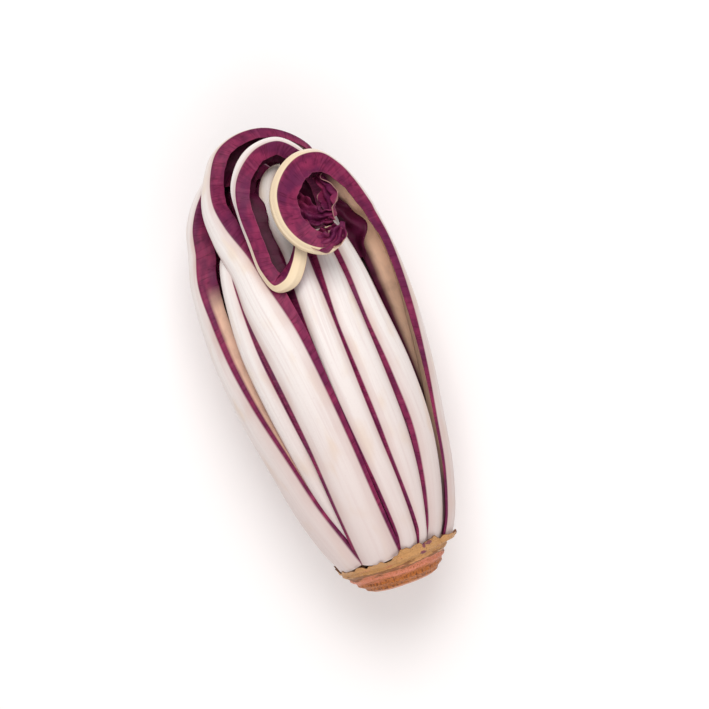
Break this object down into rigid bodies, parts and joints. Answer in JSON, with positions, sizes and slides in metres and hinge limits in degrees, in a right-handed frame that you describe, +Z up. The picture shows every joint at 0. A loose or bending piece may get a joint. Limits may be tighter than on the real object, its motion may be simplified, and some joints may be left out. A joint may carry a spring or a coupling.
{
  "type": "radicchio head",
  "caption": "Late red Treviso radicchio head lying on its side: thick white ribs, thin burgundy blades that curl over at the tips, short brown root",
  "frame": {"origin": "on the floor, under the middle of the head's bounding box", "axes": "+Y from the cut root to the curled leaf tips (longest extent), +Z up, +X to the right seen from above with the tips away"},
  "size_m": [0.0844, 0.19, 0.0864],
  "materials": {
    "leaf": "satin",
    "root_skin": "matte"
  },
  "bodies": {
    "root": {"leaf_right_spiral": "leaf", "leaf_heart_loop": "leaf", "leaf_front_broad": "leaf", "leaf_left_edge": "leaf", "leaf_front_middle": "leaf", "leaf_front_slim": "leaf", "leaf_front_right": "leaf", "leaf_front_left": "leaf", "leaf_back_1": "leaf", "leaf_back_2": "leaf", "leaf_back_3": "leaf", "leaf_back_4": "leaf", "leaf_back_5": "leaf", "leaf_back_6": "leaf", "leaf_back_7": "leaf", "leaf_heart_1": "leaf", "leaf_heart_2": "leaf", "leaf_heart_3": "leaf", "leaf_heart_4": "leaf", "leaf_heart_5": "leaf", "root": "root_skin"}
  },
  "joints": []
}
